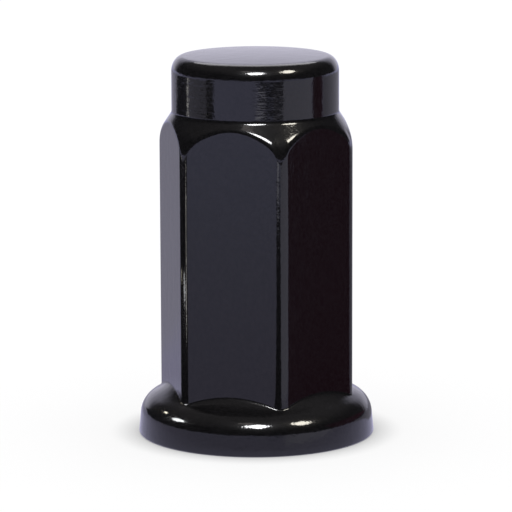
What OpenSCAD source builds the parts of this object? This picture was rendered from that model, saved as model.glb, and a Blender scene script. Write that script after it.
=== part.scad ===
// Closed-end lug nut with a flat seat: a rounded hexagon that rises from a domed
// flange and runs through a turned, S-curved shoulder into a short round cap.
// The seat lies on z = 0, and the stud goes up the tapped hole along +Z.

/* [Hexagon] */
// Wrench size, across the flats
hex_af = 17; // [15:0.5:21]
// Rounding of the six upright corners
hex_corner_r = 1.5; // [0.5:0.1:2.5]
// Whole height, from the seat to the middle of the cap
nut_h = 36.9; // [30:0.1:45]

/* [Flange] */
// How far the flange reaches past the flats
flange_lip = 2.93; // [2.2:0.01:5]
// Height of the edge round the flange
flange_edge_h = 2; // [0.8:0.1:3]
// How far that edge leans in from upright
flange_draft = 5.5; // [0:0.5:10]
// Radius of the dome that rolls over from that edge
flange_dome_r = 2.25; // [1.5:0.05:4]
// Slope of the flange's top, up from level, between the dome and the hexagon
flange_rise = 30; // [5:1:40]
// Bevel round the rim of the seat
seat_bevel = 0.15; // [0.05:0.05:0.4]

/* [Cap] */
// How far the cap's wall stands in from the flats
cap_step = 0.45; // [0.2:0.05:1.5]
// Height of the cap, from the foot of its straight wall to its middle
cap_h = 5.3; // [4:0.1:10]
// Rounding of the cap's rim
cap_rim_r = 1.35; // [0.5:0.05:2]
// Radius of the slightly crowned top
crown_r = 180; // [60:10:400]

/* [Shoulder] */
// Radius of the hollow at the foot of the cap
neck_r = 0.8; // [0.4:0.05:2]
// Slope of the cone between the hollow and the bulge, from upright
shoulder_slope = 34; // [28:1:40]
// Radius of the bulge that runs out over the corners
shoulder_r = 4.2; // [2.5:0.1:4.8]
// How far the shoulder's turning passes outside the rounded corners
shoulder_run_out = 0.02; // [0.01:0.01:0.5]

/* [Stud hole] */
// Bore of the tapped hole, at the crests of an M10 x 1.25 thread
thread_minor_d = 8.65; // [6.5:0.05:10.3]
// Relief at the mouth, clear of the stud's plain shank
relief_d = 10.5; // [10.4:0.1:13]
// Depth of the relief's straight wall, measured from the seat
relief_h = 4; // [2:0.1:10]
// Bevel round the mouth
mouth_bevel = 0.4; // [0.1:0.1:1]
// Metal left between the drill point and the middle of the cap
cap_metal = 5.3; // [3:0.1:9]
// Included angle of the drill point
drill_angle = 118; // [90:1:140]

/* [Hidden] */
$fn = 96;
crown_fn = 1440;
coat = [0.13, 0.13, 0.15];
// How far a cut or a blank passes the face that it trims
overcut = 1;
// How far each arc passes the face that it blends into, so that they cross
seam = 0.001;

hex_r = hex_af / 2;
corner_centre = (hex_r + seam - hex_corner_r) / cos(30);
corner_reach = corner_centre + hex_corner_r;

// The dome touches the leaning edge below it and the sloped top above it
flange_r = hex_r + flange_lip;
edge_top = [flange_r - (flange_edge_h - seat_bevel) * tan(flange_draft), flange_edge_h];
dome_centre = edge_top - polar(flange_dome_r - seam, flange_draft);
dome_end = dome_centre + polar(flange_dome_r - seam, 90 - flange_rise);
core_r = min(hex_r, dome_end[0]) - overcut;
core_top = dome_end[1] + (dome_end[0] - core_r) * tan(flange_rise);

// The bulge sits so low that one sloped line touches it and the hollow
cap_r = hex_r - cap_step;
shoulder_end = corner_reach + shoulder_run_out;
slope_out = polar(1, shoulder_slope);
neck_centre = [cap_r + neck_r - seam, nut_h - cap_h];
arcs_apart = neck_r + shoulder_r - 2 * seam;
bulge_x = shoulder_end - shoulder_r;
bulge_z = (neck_centre * slope_out - arcs_apart - bulge_x * slope_out[0]) / slope_out[1];
bulge_centre = [bulge_x, bulge_z];
blank_r = shoulder_end + overcut;

// The rim's arc runs into both the cap's wall and the crown
rim_x = cap_r - cap_rim_r + seam;
crown_z = nut_h - crown_r;
rim_centre = [rim_x, crown_z + sqrt(pow(crown_r - cap_rim_r + seam, 2) - pow(rim_x, 2))];

bore_r = thread_minor_d / 2;
relief_r = relief_d / 2;
thread_start = relief_h + relief_r - bore_r;
drill_tip = nut_h - cap_metal;
bore_end = drill_tip - bore_r / tan(drill_angle / 2);

function polar(r, a) = r * [cos(a), sin(a)];

// Six flats with an arc round each corner between them
module rounded_hexagon() {
    polygon([for (i = [0:5], side = [-30, 30])
        polar(corner_centre, 60 * i) + polar(hex_corner_r - seam, 60 * i + side)]);
    for (i = [0:5])
        translate(polar(corner_centre, 60 * i))
            circle(hex_corner_r);
}

// Half section of the turning: blank, bulge, cone, hollow, cap wall, rim and crown
module turned_outline() {
    difference() {
        union() {
            square([blank_r, bulge_centre[1]]);
            translate(bulge_centre)
                intersection() {
                    circle(shoulder_r);
                    translate([0, -shoulder_r])
                        square([shoulder_r, 2 * shoulder_r]);
                }
            polygon([[0, 0], [bulge_x, 0], bulge_centre, bulge_centre + (shoulder_r - seam) * slope_out,
                neck_centre - (neck_r - seam) * slope_out, neck_centre, [0, neck_centre[1]]]);
            square([cap_r, rim_centre[1]]);
            translate(rim_centre)
                circle(cap_rim_r);
            intersection() {
                translate([0, crown_z])
                    circle(crown_r, $fn = crown_fn);
                square([rim_x, nut_h + overcut]);
            }
        }
        translate(neck_centre)
            circle(neck_r);
    }
}

// Half section of the flange: bevelled foot, leaning edge, dome and sloped top
module flange_outline() {
    polygon([[0, 0], [flange_r - seat_bevel, 0], [flange_r, seat_bevel], edge_top, dome_centre,
        dome_end, [core_r, core_top], [0, core_top]]);
    translate(dome_centre)
        intersection() {
            circle(flange_dome_r);
            square(flange_dome_r);
        }
}

// Half section of the hole: bevelled mouth, relief, lead-in, tapped wall and drill point
module stud_hole_outline() {
    polygon([[0, -overcut], [relief_r + mouth_bevel + overcut, -overcut], [relief_r, mouth_bevel],
        [relief_r, relief_h], [bore_r, thread_start], [bore_r, bore_end], [0, drill_tip]]);
}

module lug_nut() {
    color(coat)
    difference() {
        union() {
            intersection() {
                linear_extrude(nut_h + overcut)
                    rounded_hexagon();
                rotate_extrude()
                    turned_outline();
            }
            rotate_extrude()
                flange_outline();
        }
        rotate_extrude()
            stud_hole_outline();
    }
}

lug_nut();
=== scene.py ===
import math

import bpy
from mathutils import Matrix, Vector


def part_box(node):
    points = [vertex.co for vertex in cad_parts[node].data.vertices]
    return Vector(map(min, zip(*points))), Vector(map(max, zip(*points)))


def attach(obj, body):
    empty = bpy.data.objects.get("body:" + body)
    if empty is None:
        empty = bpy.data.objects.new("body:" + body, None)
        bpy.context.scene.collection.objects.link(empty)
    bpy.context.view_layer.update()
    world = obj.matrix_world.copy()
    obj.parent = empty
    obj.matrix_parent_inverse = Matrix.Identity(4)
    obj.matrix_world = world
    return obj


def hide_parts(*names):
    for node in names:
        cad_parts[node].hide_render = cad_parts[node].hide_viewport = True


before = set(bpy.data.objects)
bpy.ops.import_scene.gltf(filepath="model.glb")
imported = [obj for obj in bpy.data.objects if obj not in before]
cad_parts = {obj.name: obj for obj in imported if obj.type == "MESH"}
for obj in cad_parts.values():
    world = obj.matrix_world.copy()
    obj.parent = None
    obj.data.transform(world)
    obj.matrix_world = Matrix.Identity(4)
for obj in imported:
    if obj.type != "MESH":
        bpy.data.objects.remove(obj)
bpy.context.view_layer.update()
nutLow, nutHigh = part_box("lug_nut")
mm = 0.001
sixthTurn = math.pi / 3

# The nut's outside, in mm, with the part's own sizes
nut = {
    "acrossFlats": 17.0,
    "cornerRound": 1.5,
    "height": nutHigh[2] / mm,
    "flangeReach": min(nutHigh[0], nutHigh[1], -nutLow[0], -nutLow[1]) / mm,
    "flangeEdge": 2.0,        # height of the edge round the flange
    "flangeDraft": 5.5,       # degrees that it leans in
    "flangeDome": 2.25,
    "flangeRise": 30,         # degrees that its top rises from the dome to the hexagon
    "seatRound": 0.15,
    "footRing": 9.66,         # from here inwards the top hollows up to the hexagon
    "footLeast": 0.12,        # least width of that hollow
    "footRise": (0.42, 0.2),  # how far up a flat's middle and a corner it runs
    "cornerReach": 9.584,
    "shoulderSlope": 34,      # degrees from upright, on the cone below the cap
    "neckHollow": 0.8,
    # soft edge under the cone: at a flat's middle, more towards a corner, more again right at it
    "edgeRound": (0.8, 1.3, 2.7),
    "edgeGather": 8,          # power that keeps the last of these close to the corner
    "capRadius": 8.05,
    "capFoot": 31.6,
    "capRim": (1.15, 1.5),    # width and height of the rounded rim
    "crownRadius": 180.0,
    "reliefRadius": 5.25,
    "reliefTop": 3.5,         # a bridge goes on from here to the lead-in
    "mouthBevel": 0.4,
    "cornerSteps": 14,
    "halfFlatSteps": 13,
    "weld": 0.0005,           # points closer than this become one
    "tooShort": 0.0001,       # edges shorter than this are dissolved
    "smoothBelow": 32,        # degrees between faces that are shaded as one
}

# Rows of faces along each stretch of the half section
rows = {
    "seat": 4, "lip": 4, "edge": 4, "dome": 16, "slope": 4, "foot": 18, "flat": 16,
    "softEdge": 14, "cone": 8, "neck": 8, "capWall": 8, "rim": 16, "crown": 12,
}


def shares(steps):
    return [k / steps for k in range(1, steps + 1)]


def arc(x, z, radius, start, end, steps):
    turns = [start + (end - start) * s for s in shares(steps)]
    return [(x + radius * math.cos(t), z + radius * math.sin(t)) for t in turns]


def straight(start, end, steps):
    return [tuple(a + (b - a) * s for a, b in zip(start, end)) for s in shares(steps)]


def hollow(start, crease, end, steps):
    # curve that touches both lines which meet in the crease
    return [tuple(a * (1 - s) ** 2 + b * 2 * s * (1 - s) + c * s ** 2
                  for a, b, c in zip(start, crease, end))
            for s in shares(steps)]


def easedWall(radius, low, high, steps):
    # rows crowd at both ends, so that the flat stays flat right up to its soft edges
    return [(radius, low + (high - low) * s ** 3 * (s * (6 * s - 15) + 10)) for s in shares(steps)]


def halfSection(reach):
    # one meridian from the relief round the outside to the top, where the hexagon reaches this far
    relief, bevel, lip = nut["reliefRadius"], nut["mouthBevel"], nut["seatRound"]
    points = [(relief, nut["reliefTop"]), (relief, bevel), (relief + bevel, 0.0)]
    rim = nut["flangeReach"] - lip
    points += straight(points[-1], (rim, 0.0), rows["seat"])
    points += arc(rim, lip, lip, -math.pi / 2, 0, rows["lip"])

    # leaning edge, dome and sloped top, then the hollow that runs it into the flat
    flatR = nut["acrossFlats"] / 2
    toCorner = (reach - flatR) / (nut["cornerReach"] - flatR)
    lean = math.radians(nut["flangeDraft"])
    edgeTop = (nut["flangeReach"] - (nut["flangeEdge"] - lip) * math.tan(lean), nut["flangeEdge"])
    points += straight(points[-1], edgeTop, rows["edge"])
    domeR = nut["flangeDome"]
    domeX, domeZ = edgeTop[0] - domeR * math.cos(lean), edgeTop[1] - domeR * math.sin(lean)
    tilt = math.radians(90 - nut["flangeRise"])
    topX, topZ = math.cos(tilt), math.sin(tilt)
    topOut = domeX * topX + domeZ * topZ + domeR
    ring = max(nut["footRing"], reach + nut["footLeast"])
    ringZ, creaseZ = (topOut - ring * topX) / topZ, (topOut - reach * topX) / topZ
    flatRise, cornerRise = nut["footRise"]
    wallFoot = creaseZ + flatRise + (cornerRise - flatRise) * toCorner
    points += arc(domeX, domeZ, domeR, lean, tilt, rows["dome"])
    points += straight(points[-1], (ring, ringZ), rows["slope"])
    points += hollow((ring, ringZ), (reach, creaseZ), (reach, wallFoot), rows["foot"])

    # soft edge from the flat into the cone, and the hollow above it
    neckR = nut["neckHollow"]
    slope = math.radians(nut["shoulderSlope"])
    outX, outZ = math.cos(slope), math.sin(slope)
    neck = (nut["capRadius"] + neckR, nut["capFoot"])
    coneOut = neck[0] * outX + neck[1] * outZ - neckR
    first, rising, last = nut["edgeRound"]
    edge = first + rising * toCorner + last * toCorner ** nut["edgeGather"]
    edgeZ = (coneOut - edge - (reach - edge) * outX) / outZ
    points += easedWall(reach, wallFoot, edgeZ, rows["flat"])
    points += arc(reach - edge, edgeZ, edge, 0, slope, rows["softEdge"])
    points += straight(points[-1], (neck[0] - neckR * outX, neck[1] - neckR * outZ), rows["cone"])
    points += arc(neck[0], neck[1], neckR, math.pi + slope, math.pi, rows["neck"])

    # cap wall, rounded rim and slightly crowned top
    (rimW, rimH), crown = nut["capRim"], nut["crownRadius"]
    rimX = nut["capRadius"] - rimW
    crownZ = nut["height"] - crown
    rimEnd = math.atan2(rimH * crown, rimW * rimX)
    crownR = rimX + rimW * math.cos(rimEnd)
    rimZ = crownZ + math.sqrt(crown ** 2 - crownR ** 2) - rimH * math.sin(rimEnd)
    points += easedWall(nut["capRadius"], nut["capFoot"], rimZ, rows["capWall"])
    for s in shares(rows["rim"]):
        points.append((rimX + rimW * math.cos(rimEnd * s), rimZ + rimH * math.sin(rimEnd * s)))
    points += arc(0, crownZ, crown, math.acos(crownR / crown), math.pi / 2, rows["crown"])
    return points


def sixthColumns():
    # angle and reach of each column from one flat's middle over a corner to the next flat's middle
    flatR, cornerR = nut["acrossFlats"] / 2, nut["cornerRound"]
    halfFlat = (flatR - cornerR) * math.tan(sixthTurn / 2)
    flat = []
    for k in range(nut["halfFlatSteps"]):
        along = halfFlat * math.sin(math.pi / 2 * k / nut["halfFlatSteps"])
        flat.append((math.atan2(along, flatR) - sixthTurn / 2, math.hypot(along, flatR)))
    corner = []
    cornerX = (flatR - cornerR) / math.cos(sixthTurn / 2)
    for k in range(nut["cornerSteps"] + 1):
        turn = sixthTurn * (k / nut["cornerSteps"] - 0.5)
        x, y = cornerX + cornerR * math.cos(turn), cornerR * math.sin(turn)
        corner.append((math.atan2(y, x), math.hypot(x, y)))
    return flat + corner + [(-angle, reach) for angle, reach in reversed(flat)]


def makeSkin():
    columns = [(angle, halfSection(reach)) for angle, reach in sixthColumns()]
    across, along = len(columns) - 1, len(columns[0][1]) - 1
    bpy.ops.object.select_all(action="DESELECT")
    bpy.ops.mesh.primitive_grid_add(x_subdivisions=across, y_subdivisions=along, size=1.0)
    skin = bpy.context.object
    skin.name = "blackLugNut"
    for vertex in skin.data.vertices:
        angle, section = columns[round((vertex.co.x + 0.5) * across)]
        radius, height = section[round((vertex.co.y + 0.5) * along)]
        vertex.co = Vector((radius * math.cos(angle), radius * math.sin(angle), height)) * mm
    bpy.ops.object.mode_set(mode="EDIT")
    bpy.ops.mesh.select_all(action="SELECT")
    for sixth in range(5):
        bpy.ops.mesh.duplicate()
        bpy.ops.transform.rotate(value=sixthTurn, orient_axis="Z", center_override=(0, 0, 0))
    bpy.ops.mesh.select_all(action="SELECT")
    bpy.ops.mesh.remove_doubles(threshold=nut["weld"] * mm)
    bpy.ops.object.mode_set(mode="OBJECT")
    print("skin:", across, "x", along, "faces in a sixth,", len(skin.data.vertices), "vertices")
    return skin


# The right-hand M10 x 1.25 thread and the drilled end of the hole, in mm
thread = {
    "pitch": 1.25,
    "crestRadius": 4.325,
    "rootRadius": 5.0,
    "crestFlat": 0.3125,
    "rootFlat": 0.16,
    "flankSteps": 3,
    "turns": 21,
    "steps": 96,
    "leadInFrom": 4.0,        # the 45 degree lead-in starts here at the relief's radius
    "fadeOver": 1.25,
    "top": 27.4,              # the tap's last turn has run out here
    "drillEnd": 29.0,
    "drillTip": 31.6,
    "sliver": 0.02,           # cut edges shorter than this are merged away
}


def selectRim(piece, above):
    # edit mode, with only the open edges above this height selected
    bpy.ops.object.mode_set(mode="EDIT")
    bpy.ops.mesh.select_mode(type="EDGE")
    bpy.ops.mesh.select_all(action="SELECT")
    bpy.ops.mesh.region_to_loop()
    bpy.ops.object.mode_set(mode="OBJECT")
    for edge in piece.data.edges:
        if min(piece.data.vertices[i].co.z for i in edge.vertices) < above * mm:
            edge.select = False
    for vertex in piece.data.vertices:
        vertex.select = False
    for edge in piece.data.edges:
        if edge.select:
            for i in edge.vertices:
                piece.data.vertices[i].select = True
    bpy.ops.object.mode_set(mode="EDIT")


def makeHole():
    pitch, crest, root = thread["pitch"], thread["crestRadius"], thread["rootRadius"]
    parts = thread["flankSteps"]
    outwards = (root - crest) / parts
    upwards = (pitch - thread["crestFlat"] - thread["rootFlat"]) / 2 / parts
    start = thread["leadInFrom"] - pitch
    moves = [(0, thread["crestFlat"])] + [(outwards, upwards)] * parts
    moves += [(0, thread["rootFlat"])] + [(-outwards, upwards)] * parts

    # one pitch of the thread's outline, drawn from a single point
    bpy.ops.object.select_all(action="DESELECT")
    bpy.ops.mesh.primitive_plane_add(size=mm)
    hole = bpy.context.object
    bpy.ops.object.mode_set(mode="EDIT")
    bpy.ops.mesh.merge(type="CENTER")
    bpy.ops.transform.translate(value=(crest * mm, 0, start * mm))
    for out, rise in moves:
        bpy.ops.mesh.extrude_vertices_move(
            TRANSFORM_OT_translate={"value": (out * mm, 0, rise * mm)})
    bpy.ops.object.mode_set(mode="OBJECT")
    screw = hole.modifiers.new("thread", "SCREW")
    screw.axis, screw.angle, screw.screw_offset = "Z", math.tau, pitch * mm
    screw.iterations = thread["turns"]
    screw.steps = screw.render_steps = thread["steps"]
    bpy.ops.object.modifier_apply(modifier=screw.name)

    # square ends, with the slivers of the cut merged away
    bpy.ops.object.mode_set(mode="EDIT")
    for height, cut in ((thread["leadInFrom"], {"clear_inner": True}),
                        (thread["top"], {"clear_outer": True})):
        bpy.ops.mesh.select_all(action="SELECT")
        bpy.ops.mesh.bisect(plane_co=(0, 0, height * mm), plane_no=(0, 0, 1), **cut)
    bpy.ops.mesh.select_all(action="SELECT")
    bpy.ops.mesh.remove_doubles(threshold=thread["sliver"] * mm)
    bpy.ops.object.mode_set(mode="OBJECT")

    # the lead-in cuts the first turns away, and the last turn runs out to the drilled wall
    for vertex in hole.data.vertices:
        radius, height = vertex.co.xy.length / mm, vertex.co.z / mm
        left = min(max((thread["top"] - height) / thread["fadeOver"], 0), 1)
        cut = crest + (radius - crest) * left
        cut = max(cut, nut["reliefRadius"] - (height - thread["leadInFrom"]))
        vertex.co.xy *= cut / radius
    selectRim(hole, (thread["leadInFrom"] + thread["top"]) / 2)
    for low, high in (("top", "drillEnd"), ("drillEnd", "drillTip")):
        bpy.ops.mesh.extrude_region_move(
            TRANSFORM_OT_translate={"value": (0, 0, (thread[high] - thread[low]) * mm)})
    bpy.ops.mesh.merge(type="CENTER")
    bpy.ops.object.mode_set(mode="OBJECT")
    print("hole:", thread["turns"], "turns,", len(hole.data.vertices), "vertices")
    return hole


def joinNut(skin, hole):
    bpy.ops.object.select_all(action="DESELECT")
    hole.select_set(True)
    skin.select_set(True)
    bpy.context.view_layer.objects.active = skin
    bpy.ops.object.join()
    bpy.ops.object.mode_set(mode="EDIT")
    bpy.ops.mesh.select_mode(type="EDGE")
    bpy.ops.mesh.select_all(action="DESELECT")
    bpy.ops.mesh.select_non_manifold()
    bpy.ops.mesh.bridge_edge_loops()          # relief wall up to the lead-in
    bpy.ops.mesh.select_all(action="SELECT")
    bpy.ops.mesh.dissolve_degenerate(threshold=nut["tooShort"] * mm)
    bpy.ops.mesh.normals_make_consistent(inside=False)
    bpy.ops.mesh.select_all(action="DESELECT")
    bpy.ops.mesh.select_non_manifold()
    bpy.ops.object.mode_set(mode="OBJECT")
    openEdges = sum(edge.select for edge in skin.data.edges)
    bpy.ops.object.shade_smooth_by_angle(angle=math.radians(nut["smoothBelow"]))
    print("nut:", len(skin.data.polygons), "faces,", openEdges, "open edges")
    return skin


lugNut = joinNut(makeSkin(), makeHole())

# Glossy black plating: a thin, faintly violet coat with orange peel, grain on the flats and
# turning marks on the cap
coat = {
    "colour": ((0.0016, 0.0015, 0.0018, 1), (0.0044, 0.0039, 0.0047, 1)),
    "ior": 1.5,
    "roughness": (0.06, 0.12),
    "glow": 0.085,               # share of a rougher top coat, the haze round bright spots
    "glowRoughness": 0.32,
    # noises: mm from one hump to the next across and up, then the detail
    "peel": (0.9, 0.9, 1.0),
    "grit": (0.28, 0.28, 2.0),
    "grain": (0.45, 7.0, 2.0),
    "turned": (1.6, 0.22, 1.0),
    "specks": (0.24, 0.24, 4.0),
    "wear": (1.6, 1.6, 4.0),
    # mm that the bumps stand up
    "peelHeight": 0.010,
    "gritHeight": 0.007,
    "grainHeight": 0.009,
    "turnedHeight": 0.008,
    # noise between which the two colours and the two roughnesses blend
    "speckSpread": (0.41, 0.59),
    "wearSpread": (0.3, 0.7),
    "capBlend": 0.5,             # mm over which grain gives way to turning marks
}


def addNode(tree, kind, inputs=None, **settings):
    node = tree.nodes.new(kind)
    for name, value in settings.items():
        setattr(node, name, value)
    for name, value in (inputs or {}).items():
        node.inputs[name].default_value = value
    return node


def makePlating():
    plating = bpy.data.materials.new("glossyBlackPlating")
    plating.use_nodes = True
    tree = plating.node_tree
    link = tree.links.new
    shader = tree.nodes["Principled BSDF"]
    shader.inputs["IOR"].default_value = coat["ior"]
    shader.inputs["Coat Weight"].default_value = coat["glow"]
    shader.inputs["Coat Roughness"].default_value = coat["glowRoughness"]
    place = addNode(tree, "ShaderNodeTexCoord").outputs["Object"]

    def noise(across, up, detail):
        # noise with humps this many mm apart
        scaled = addNode(tree, "ShaderNodeMapping",
                         {"Scale": (1 / (across * mm), 1 / (across * mm), 1 / (up * mm))})
        link(place, scaled.inputs["Vector"])
        made = addNode(tree, "ShaderNodeTexNoise", {"Scale": 1.0, "Detail": detail})
        link(scaled.outputs["Vector"], made.inputs["Vector"])
        return made.outputs["Fac"]

    def times(value, factor):
        made = addNode(tree, "ShaderNodeMath", operation="MULTIPLY")
        link(value, made.inputs[0])
        if isinstance(factor, float):
            made.inputs[1].default_value = factor
        else:
            link(factor, made.inputs[1])
        return made.outputs[0]

    def plus(first, second):
        made = addNode(tree, "ShaderNodeMath", operation="ADD")
        link(first, made.inputs[0])
        link(second, made.inputs[1])
        return made.outputs[0]

    # 1 on the cap, 0 below it
    split = addNode(tree, "ShaderNodeSeparateXYZ")
    link(place, split.inputs[0])
    capFoot = nut["capFoot"]
    onCap = addNode(tree, "ShaderNodeMapRange",
                    {"From Min": capFoot * mm, "From Max": (capFoot + coat["capBlend"]) * mm})
    link(split.outputs["Z"], onCap.inputs["Value"])
    belowCap = addNode(tree, "ShaderNodeMath", {0: 1.0}, operation="SUBTRACT")
    link(onCap.outputs["Result"], belowCap.inputs[1])

    grain = times(noise(*coat["grain"]), coat["grainHeight"])
    turned = times(noise(*coat["turned"]), coat["turnedHeight"])
    height = times(noise(*coat["peel"]), coat["peelHeight"])
    height = plus(height, times(noise(*coat["grit"]), coat["gritHeight"]))
    height = plus(height, times(grain, belowCap.outputs[0]))
    height = plus(height, times(turned, onCap.outputs["Result"]))
    bump = addNode(tree, "ShaderNodeBump", {"Strength": 1.0, "Distance": mm})
    link(height, bump.inputs["Height"])
    link(bump.outputs["Normal"], shader.inputs["Normal"])

    colour = addNode(tree, "ShaderNodeValToRGB")
    for stop, spread, shade in zip(colour.color_ramp.elements, coat["speckSpread"], coat["colour"]):
        stop.position, stop.color = spread, shade
    link(noise(*coat["specks"]), colour.inputs["Fac"])
    link(colour.outputs["Color"], shader.inputs["Base Color"])
    wear = addNode(tree, "ShaderNodeMapRange",
                   {"From Min": coat["wearSpread"][0], "From Max": coat["wearSpread"][1],
                    "To Min": coat["roughness"][0], "To Max": coat["roughness"][1]})
    link(noise(*coat["wear"]), wear.inputs["Value"])
    link(wear.outputs["Result"], shader.inputs["Roughness"])
    return plating


lugNut.data.materials.clear()
lugNut.data.materials.append(makePlating())
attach(lugNut, "root")
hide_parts("lug_nut")
print("plating done")

# Camera, from a fit of the photograph's outline
shot = {
    "azimuth": 15.5,
    "elevation": 10.665,
    "distance": 337.36,
    "lens": 245.24,
    "sensor": 36,
    "clip": (0.01, 10),                 # m
    "aim": (0.018, 17.556, -0.339),     # right, height on the axis, up, in mm
    "roll": -0.2,
}
azimuth, elevation = math.radians(shot["azimuth"]), math.radians(shot["elevation"])
front = Vector((math.sin(azimuth), -math.cos(azimuth), 0))
right = Vector((math.cos(azimuth), math.sin(azimuth), 0))
back = front * math.cos(elevation) + Vector((0, 0, math.sin(elevation)))
up = back.cross(right)
target = (right * shot["aim"][0] + Vector((0, 0, shot["aim"][1])) + up * shot["aim"][2]) * mm
bpy.ops.object.camera_add(location=target + back * shot["distance"] * mm)
camera = bpy.context.object
camera.data.lens = shot["lens"]
camera.data.sensor_width = shot["sensor"]
camera.data.clip_start, camera.data.clip_end = shot["clip"]
camera.rotation_euler = (-back).to_track_quat("-Z", "Y").to_euler()
camera.rotation_euler.rotate_axis("Z", math.radians(shot["roll"]))
bpy.context.scene.camera = camera

# Pale floor and white surroundings: the camera sees them white, the plating mirrors a darker room
studio = {
    "floorSize": 3.0,                   # m
    "floorDrop": 0.02,                  # mm below the seat
    "floorColour": (0.97, 0.97, 0.975, 1),
    "floorWhite": 0.7,                  # share of the floor that the camera sees unlit
    "contactShade": 3.0,                # mm round the nut that lie in its close shadow
    "contactSamples": 16,
    # the floor as the plating mirrors it, in painted shade and tint: mm from the axis, tone
    "floorMirrored": (
        (12, (0.66, 0.65, 0.90, 1)),
        (30, (0.48, 0.46, 0.65, 1)),
        (110, (0.55, 0.55, 0.77, 1)),
        (190, (0.63, 0.65, 0.94, 1)),
        (260, (0.68, 0.68, 1.0, 1)),
    ),
    "daylight": 1.1,
    # low and high shade, and the sines of the heights between which they change
    "room": ((0.03, 0.03, 0.033, 1), (0.19, 0.18, 0.185, 1)),
    "roomFade": (0.34, 0.94),
    "backdrop": ((0.875, 0.855, 1.02, 1), (0.645, 0.63, 0.77, 1)),
    "backdropFade": (0.15, 0.32),
    "backdropFrom": (0.70, 0.90),       # how far behind the nut the backdrop starts, as a cosine
}
plainWhite = (1, 1, 1, 1)
mixFirst, mixSecond, mixOut = 6, 7, 2   # the colour sockets of a Mix node


def seenRays(tree):
    # 1 for what the camera and glossy or clear surfaces see
    rays = addNode(tree, "ShaderNodeLightPath")
    total = rays.outputs["Is Camera Ray"]
    for name in ("Is Glossy Ray", "Is Transmission Ray"):
        summed = addNode(tree, "ShaderNodeMath", operation="ADD", use_clamp=True)
        tree.links.new(total, summed.inputs[0])
        tree.links.new(rays.outputs[name], summed.inputs[1])
        total = summed.outputs[0]
    return rays, total


def makeFloor():
    bpy.ops.object.select_all(action="DESELECT")
    bpy.ops.mesh.primitive_plane_add(size=studio["floorSize"],
                                     location=(0, 0, -studio["floorDrop"] * mm))
    floor = bpy.context.object
    floor.name = "paleFloor"
    paper = bpy.data.materials.new("palePaper")
    paper.use_nodes = True
    tree = paper.node_tree
    link = tree.links.new
    tree.nodes.remove(tree.nodes["Principled BSDF"])
    lit = addNode(tree, "ShaderNodeBsdfDiffuse", {"Color": studio["floorColour"]})
    white = addNode(tree, "ShaderNodeEmission")
    rays, seen = seenRays(tree)

    # what the plating mirrors, painted shade and tint, changes with the distance from the nut
    reach = addNode(tree, "ShaderNodeVectorMath", operation="LENGTH")
    link(addNode(tree, "ShaderNodeTexCoord").outputs["Object"], reach.inputs[0])
    farthest = studio["floorMirrored"][-1][0]
    along = addNode(tree, "ShaderNodeMapRange", {"From Min": 0.0, "From Max": farthest * mm})
    link(reach.outputs["Value"], along.inputs["Value"])
    ramp = addNode(tree, "ShaderNodeValToRGB")
    stops = ramp.color_ramp.elements
    while len(stops) < len(studio["floorMirrored"]):
        stops.new(0.5)
    for stop, (distance, shade) in zip(stops, studio["floorMirrored"]):
        stop.position, stop.color = distance / farthest, shade
    link(along.outputs["Result"], ramp.inputs["Fac"])

    # what the camera sees is white, but for the close shadow round the nut
    close = addNode(tree, "ShaderNodeAmbientOcclusion",
                    {"Color": plainWhite, "Distance": studio["contactShade"] * mm},
                    samples=studio["contactSamples"])
    tone = addNode(tree, "ShaderNodeMix", data_type="RGBA")
    link(rays.outputs["Is Glossy Ray"], tone.inputs["Factor"])
    link(close.outputs["Color"], tone.inputs[mixFirst])
    link(ramp.outputs["Color"], tone.inputs[mixSecond])
    link(tone.outputs[mixOut], white.inputs["Color"])
    dim = addNode(tree, "ShaderNodeMath", {1: studio["floorWhite"]}, operation="MULTIPLY")
    link(seen, dim.inputs[0])
    share = addNode(tree, "ShaderNodeMath", operation="MAXIMUM")
    link(dim.outputs[0], share.inputs[0])
    link(rays.outputs["Is Glossy Ray"], share.inputs[1])
    blend = addNode(tree, "ShaderNodeMixShader")
    link(share.outputs[0], blend.inputs["Fac"])
    link(lit.outputs[0], blend.inputs[1])
    link(white.outputs[0], blend.inputs[2])
    link(blend.outputs[0], tree.nodes["Material Output"].inputs["Surface"])
    floor.data.materials.append(paper)


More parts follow.
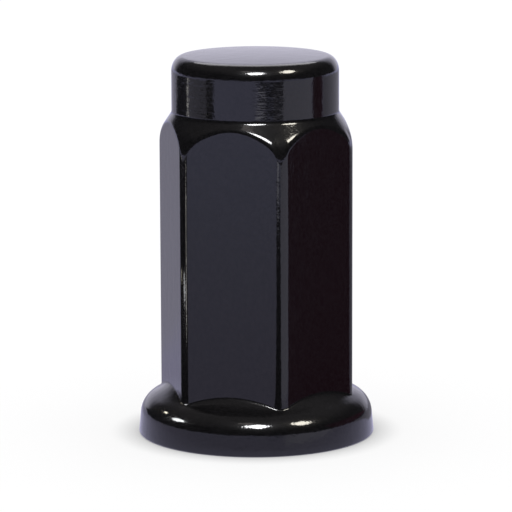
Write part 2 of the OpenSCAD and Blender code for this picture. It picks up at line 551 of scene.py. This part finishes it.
def makeWorld():
    world = bpy.data.worlds.new("paleStudio")
    world.use_nodes = True
    bpy.context.scene.world = world
    tree = world.node_tree
    link = tree.links.new
    tree.nodes.remove(tree.nodes["Background"])
    direction = addNode(tree, "ShaderNodeTexCoord").outputs["Generated"]

    # the room that the plating mirrors: dark all round, lighter overhead, pale behind the nut
    split = addNode(tree, "ShaderNodeSeparateXYZ")
    link(direction, split.inputs[0])

    def rising(shades, fade):
        # from the first shade at the first height to the second at the second
        share = addNode(tree, "ShaderNodeMapRange", {"From Min": fade[0], "From Max": fade[1]},
                        interpolation_type="SMOOTHSTEP")
        link(split.outputs["Z"], share.inputs["Value"])
        made = addNode(tree, "ShaderNodeMix", data_type="RGBA")
        made.inputs[mixFirst].default_value, made.inputs[mixSecond].default_value = shades
        link(share.outputs["Result"], made.inputs["Factor"])
        return made.outputs[mixOut]

    behind = addNode(tree, "ShaderNodeVectorMath", {1: -front}, operation="DOT_PRODUCT")
    link(direction, behind.inputs[0])
    share = addNode(tree, "ShaderNodeMapRange",
                    {"From Min": studio["backdropFrom"][0], "From Max": studio["backdropFrom"][1]},
                    interpolation_type="SMOOTHSTEP")
    link(behind.outputs["Value"], share.inputs["Value"])
    room = addNode(tree, "ShaderNodeMix", data_type="RGBA")
    link(share.outputs["Result"], room.inputs["Factor"])
    link(rising(studio["room"], studio["roomFade"]), room.inputs[mixFirst])
    link(rising(studio["backdrop"], studio["backdropFade"]), room.inputs[mixSecond])

    mirrored = addNode(tree, "ShaderNodeBackground")
    link(room.outputs[mixOut], mirrored.inputs["Color"])
    light = addNode(tree, "ShaderNodeBackground",
                    {"Color": plainWhite, "Strength": studio["daylight"]})
    white = addNode(tree, "ShaderNodeBackground", {"Color": plainWhite, "Strength": 1.0})
    rays, seen = seenRays(tree)
    lit = addNode(tree, "ShaderNodeMixShader")
    link(seen, lit.inputs["Fac"])
    link(light.outputs[0], lit.inputs[1])
    link(mirrored.outputs[0], lit.inputs[2])
    final = addNode(tree, "ShaderNodeMixShader")
    link(rays.outputs["Is Camera Ray"], final.inputs["Fac"])
    link(lit.outputs[0], final.inputs[1])
    link(white.outputs[0], final.inputs[2])
    link(final.outputs[0], tree.nodes["World Output"].inputs["Surface"])


def aim(turn, rise):
    # direction from the nut: degrees to the right of the camera, and above the floor
    turn, rise = math.radians(turn), math.radians(rise)
    level = front * math.cos(turn) + right * math.sin(turn)
    return level * math.cos(rise) + Vector((0, 0, math.sin(rise)))


# Round soft boxes that the plating mirrors: turn and rise in degrees, then distance, width and
# height in mm, brightness, spread in degrees, colour
softBoxes = {
    "frontBox": (0, 44, 600, 215, 180, 37, 180, (0.98, 0.98, 1.0)),
    "rightBox": (55.5, 44, 600, 190, 155, 22, 180, (1.0, 0.95, 0.83)),
    "topBox": (180, 50, 600, 460, 400, 2.2, 180, (0.96, 0.95, 1.0)),
    "warmBox": (-15, 57.5, 600, 135, 90, 1.1, 180, (1.0, 0.91, 0.87)),
    "leftBox": (-74.0, 24.6, 28.6, 6.6, 3.8, 6.5, 84, (0.96, 0.98, 1.0)),
    "leftSpark": (-96.1, 28.9, 26.9, 2.4, 1.8, 7.5, 96, (1.0, 0.93, 0.75)),
}


def makeSoftBox(name, turn, rise, distance, width, height, brightness, spread, colour):
    bpy.ops.object.light_add(type="AREA", location=aim(turn, rise) * distance * mm)
    lamp = bpy.context.object
    lamp.name = name
    lamp.rotation_euler = aim(turn, rise).to_track_quat("Z", "Y").to_euler()
    lamp.data.shape = "ELLIPSE"
    lamp.data.size, lamp.data.size_y = width * mm, height * mm
    area = math.pi / 4 * lamp.data.size * lamp.data.size_y
    lamp.data.energy = brightness * math.pi * area
    lamp.data.spread = math.radians(spread)
    lamp.data.color = colour
    lamp.visible_diffuse = False
    lamp.visible_camera = False


# Sheets over the floor that only show in the plating, as painted reflections: the black ones are
# painted shade, the bright ones painted light that no lamp gives. Height in mm, four corners as
# turn in degrees and distance in mm, colour
# black, the colour of the painted shade
black = (0.02, 0.02, 0.025)
paintedReflections = {
    # grey: painted tones and painted shade of the floor in the plating's reflections
    "leftBack": (0.03, (-142, 12), (-142, 430), (-168, 430), (-168, 12), (0.48, 0.465, 0.585)),
    "leftShade": (0.06, (-60, 140), (-60, 430), (-141, 430), (-141, 140), (0.40, 0.39, 0.48)),
    # black: painted shade in the plating's reflections
    "leftPaintedShadeColumn": (0.09, (-58, 190), (-58, 320), (-69, 320), (-70, 190), black),
    "leftEdge": (0.12, (-107, 190), (-107, 320), (-134, 320), (-134, 190), black),
    # glowing strip: painted light in the plating's reflections, where no lamp is
    "leftStrip": (0.15, (-103.2, 213), (-103.4, 300), (-106, 300), (-105.8, 213), (3.5, 3.4, 3.2)),
    "rightShade": (0.06, (105, 16), (105, 430), (165, 430), (150, 16), (0.38, 0.37, 0.45)),
    "rightDark": (0.09, (105, 16), (105, 200), (165, 200), (150, 16), (0.29, 0.28, 0.34)),
    "rightGlow": (0.12, (24, 30), (24, 430), (84, 430), (62, 30), (0.75, 0.74, 0.91)),
    # black: painted shade in the plating's reflections
    "frontPaintedShade": (0.15, (15, 205), (37, 205), (39, 420), (-6, 420), black),
    # glowing: painted light in the plating's reflections, where no lamp is
    "paintedGlare": (0.18, (1, 158), (12, 158), (12, 179), (1, 179), (2.2, 2.2, 2.4)),
    "tipPaintedGlow": (0.18, (0, 180), (13, 180), (13, 214), (0, 214), (1.35, 1.35, 1.62)),
    # these lie so high that the rays from the flange's edge pass under them
    # black: painted shade in the plating's reflections
    "nearPaintedShade": (3.0, (-4, 14.2), (20, 14.6), (23, 134), (-5, 134), black),
    "leftPaintedShadeSheet": (3.0, (-46.5, 12.4), (-57.5, 212), (-137.3, 212), (-91, 12.2), black),
    # glowing: painted light in the plating's reflections, where no lamp is
    "leftPaintedGlow": (3.1, (-65.5, 44.5), (-68.4, 148), (-65.0, 148), (-62.6, 44.7), (5.6, 5.4, 5.1)),
    # dark red: a painted reflection
    "redPaintedReflection": (3.0, (40, 12.6), (88, 12.8), (104.7, 1330), (85.7, 1293), (0.085, 0.024, 0.046)),
}


def makePaintedReflection(name, lift, first, second, third, fourth, colour):
    bpy.ops.object.select_all(action="DESELECT")
    bpy.ops.mesh.primitive_plane_add(size=1.0)
    reflectionSheet = bpy.context.object
    reflectionSheet.name = name
    # a plane's vertices come row by row, so the last two corners change places
    for vertex, (turn, distance) in zip(reflectionSheet.data.vertices, (first, second, fourth, third)):
        vertex.co = aim(turn, 0) * distance * mm + Vector((0, 0, lift * mm))
    paint = bpy.data.materials.new(name + "Paint")
    paint.use_nodes = True
    tree = paint.node_tree
    tree.nodes.remove(tree.nodes["Principled BSDF"])
    # its glow is what the plating reflects: painted shade where dark, painted light where bright
    glow = addNode(tree, "ShaderNodeEmission", {"Color": (*colour, 1)})
    tree.links.new(glow.outputs[0], tree.nodes["Material Output"].inputs["Surface"])
    reflectionSheet.data.materials.append(paint)
    reflectionSheet.visible_camera = reflectionSheet.visible_diffuse = reflectionSheet.visible_shadow = False
    reflectionSheet.visible_transmission = reflectionSheet.visible_volume_scatter = False


makeFloor()
makeWorld()
for name, settings in softBoxes.items():
    makeSoftBox(name, *settings)
for name, settings in paintedReflections.items():
    makePaintedReflection(name, *settings)
print("studio:", len(softBoxes), "soft boxes,", len(paintedReflections), "paintedReflections")

bpy.context.scene.view_settings.view_transform = "Standard"
